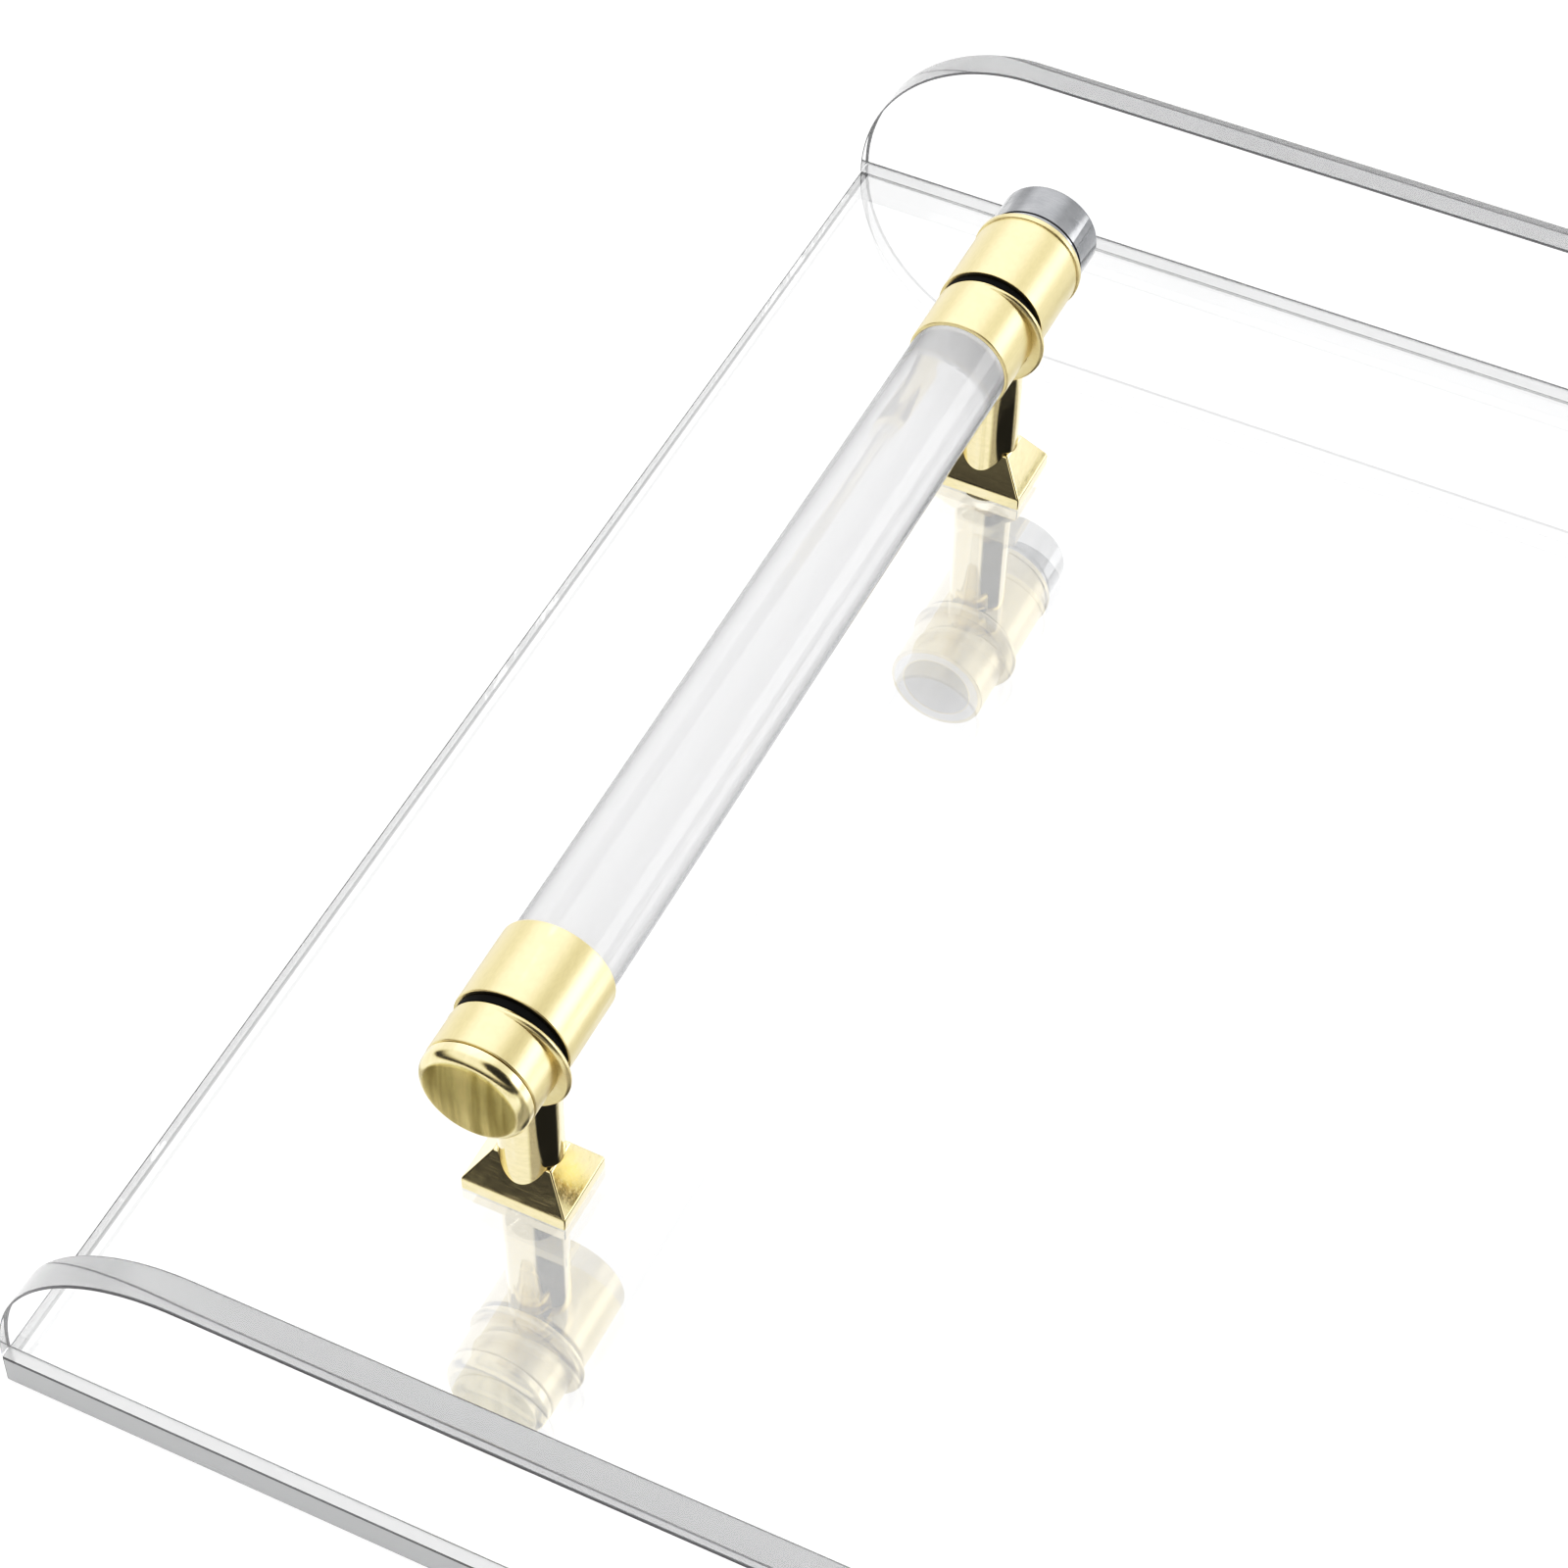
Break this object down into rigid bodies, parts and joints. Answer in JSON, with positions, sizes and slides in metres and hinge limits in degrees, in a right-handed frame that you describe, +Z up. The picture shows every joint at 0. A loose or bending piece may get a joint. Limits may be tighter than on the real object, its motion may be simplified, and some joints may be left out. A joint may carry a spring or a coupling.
{
  "type": "acrylic serving tray with rod handles",
  "caption": "Clear acrylic tray with a low wall along each long side, open ends, and a clear rod handle on gold posts near each end.",
  "frame": {"origin": "centre of the underside of the sheet, the plane that the tray stands on", "axes": "+X along the tray, +Y across it along the rods towards the rear wall, +Z up"},
  "size_m": [0.4, 0.28, 0.0518],
  "materials": {
    "clear_sheet": "clear polished acrylic",
    "clear_rod": "clear polished acrylic",
    "gold": "polished pale gold",
    "silver": "polished silver",
    "black_rubber": "matt black",
    "zinc_steel": "zinc plated"
  },
  "bodies": {
    "root": {"base_plate": "clear_sheet", "front_wall": "clear_sheet", "rear_wall": "clear_sheet", "left_rod": "clear_rod", "left_gold_end_foot": "gold", "left_gold_end_post": "gold", "left_gold_end_sleeve": "gold", "left_gold_end_washer": "black_rubber", "left_gold_end_collar": "gold", "left_gold_end_cap": "gold", "left_gold_end_screw": "zinc_steel", "left_silver_end_foot": "gold", "left_silver_end_post": "gold", "left_silver_end_sleeve": "gold", "left_silver_end_washer": "black_rubber", "left_silver_end_collar": "gold", "left_silver_end_cap": "silver", "left_silver_end_screw": "zinc_steel", "right_rod": "clear_rod", "right_gold_end_foot": "gold", "right_gold_end_post": "gold", "right_gold_end_sleeve": "gold", "right_gold_end_washer": "black_rubber", "right_gold_end_collar": "gold", "right_gold_end_cap": "gold", "right_gold_end_screw": "zinc_steel", "right_silver_end_foot": "gold", "right_silver_end_post": "gold", "right_silver_end_sleeve": "gold", "right_silver_end_washer": "black_rubber", "right_silver_end_collar": "gold", "right_silver_end_cap": "silver", "right_silver_end_screw": "zinc_steel"}
  },
  "joints": []
}
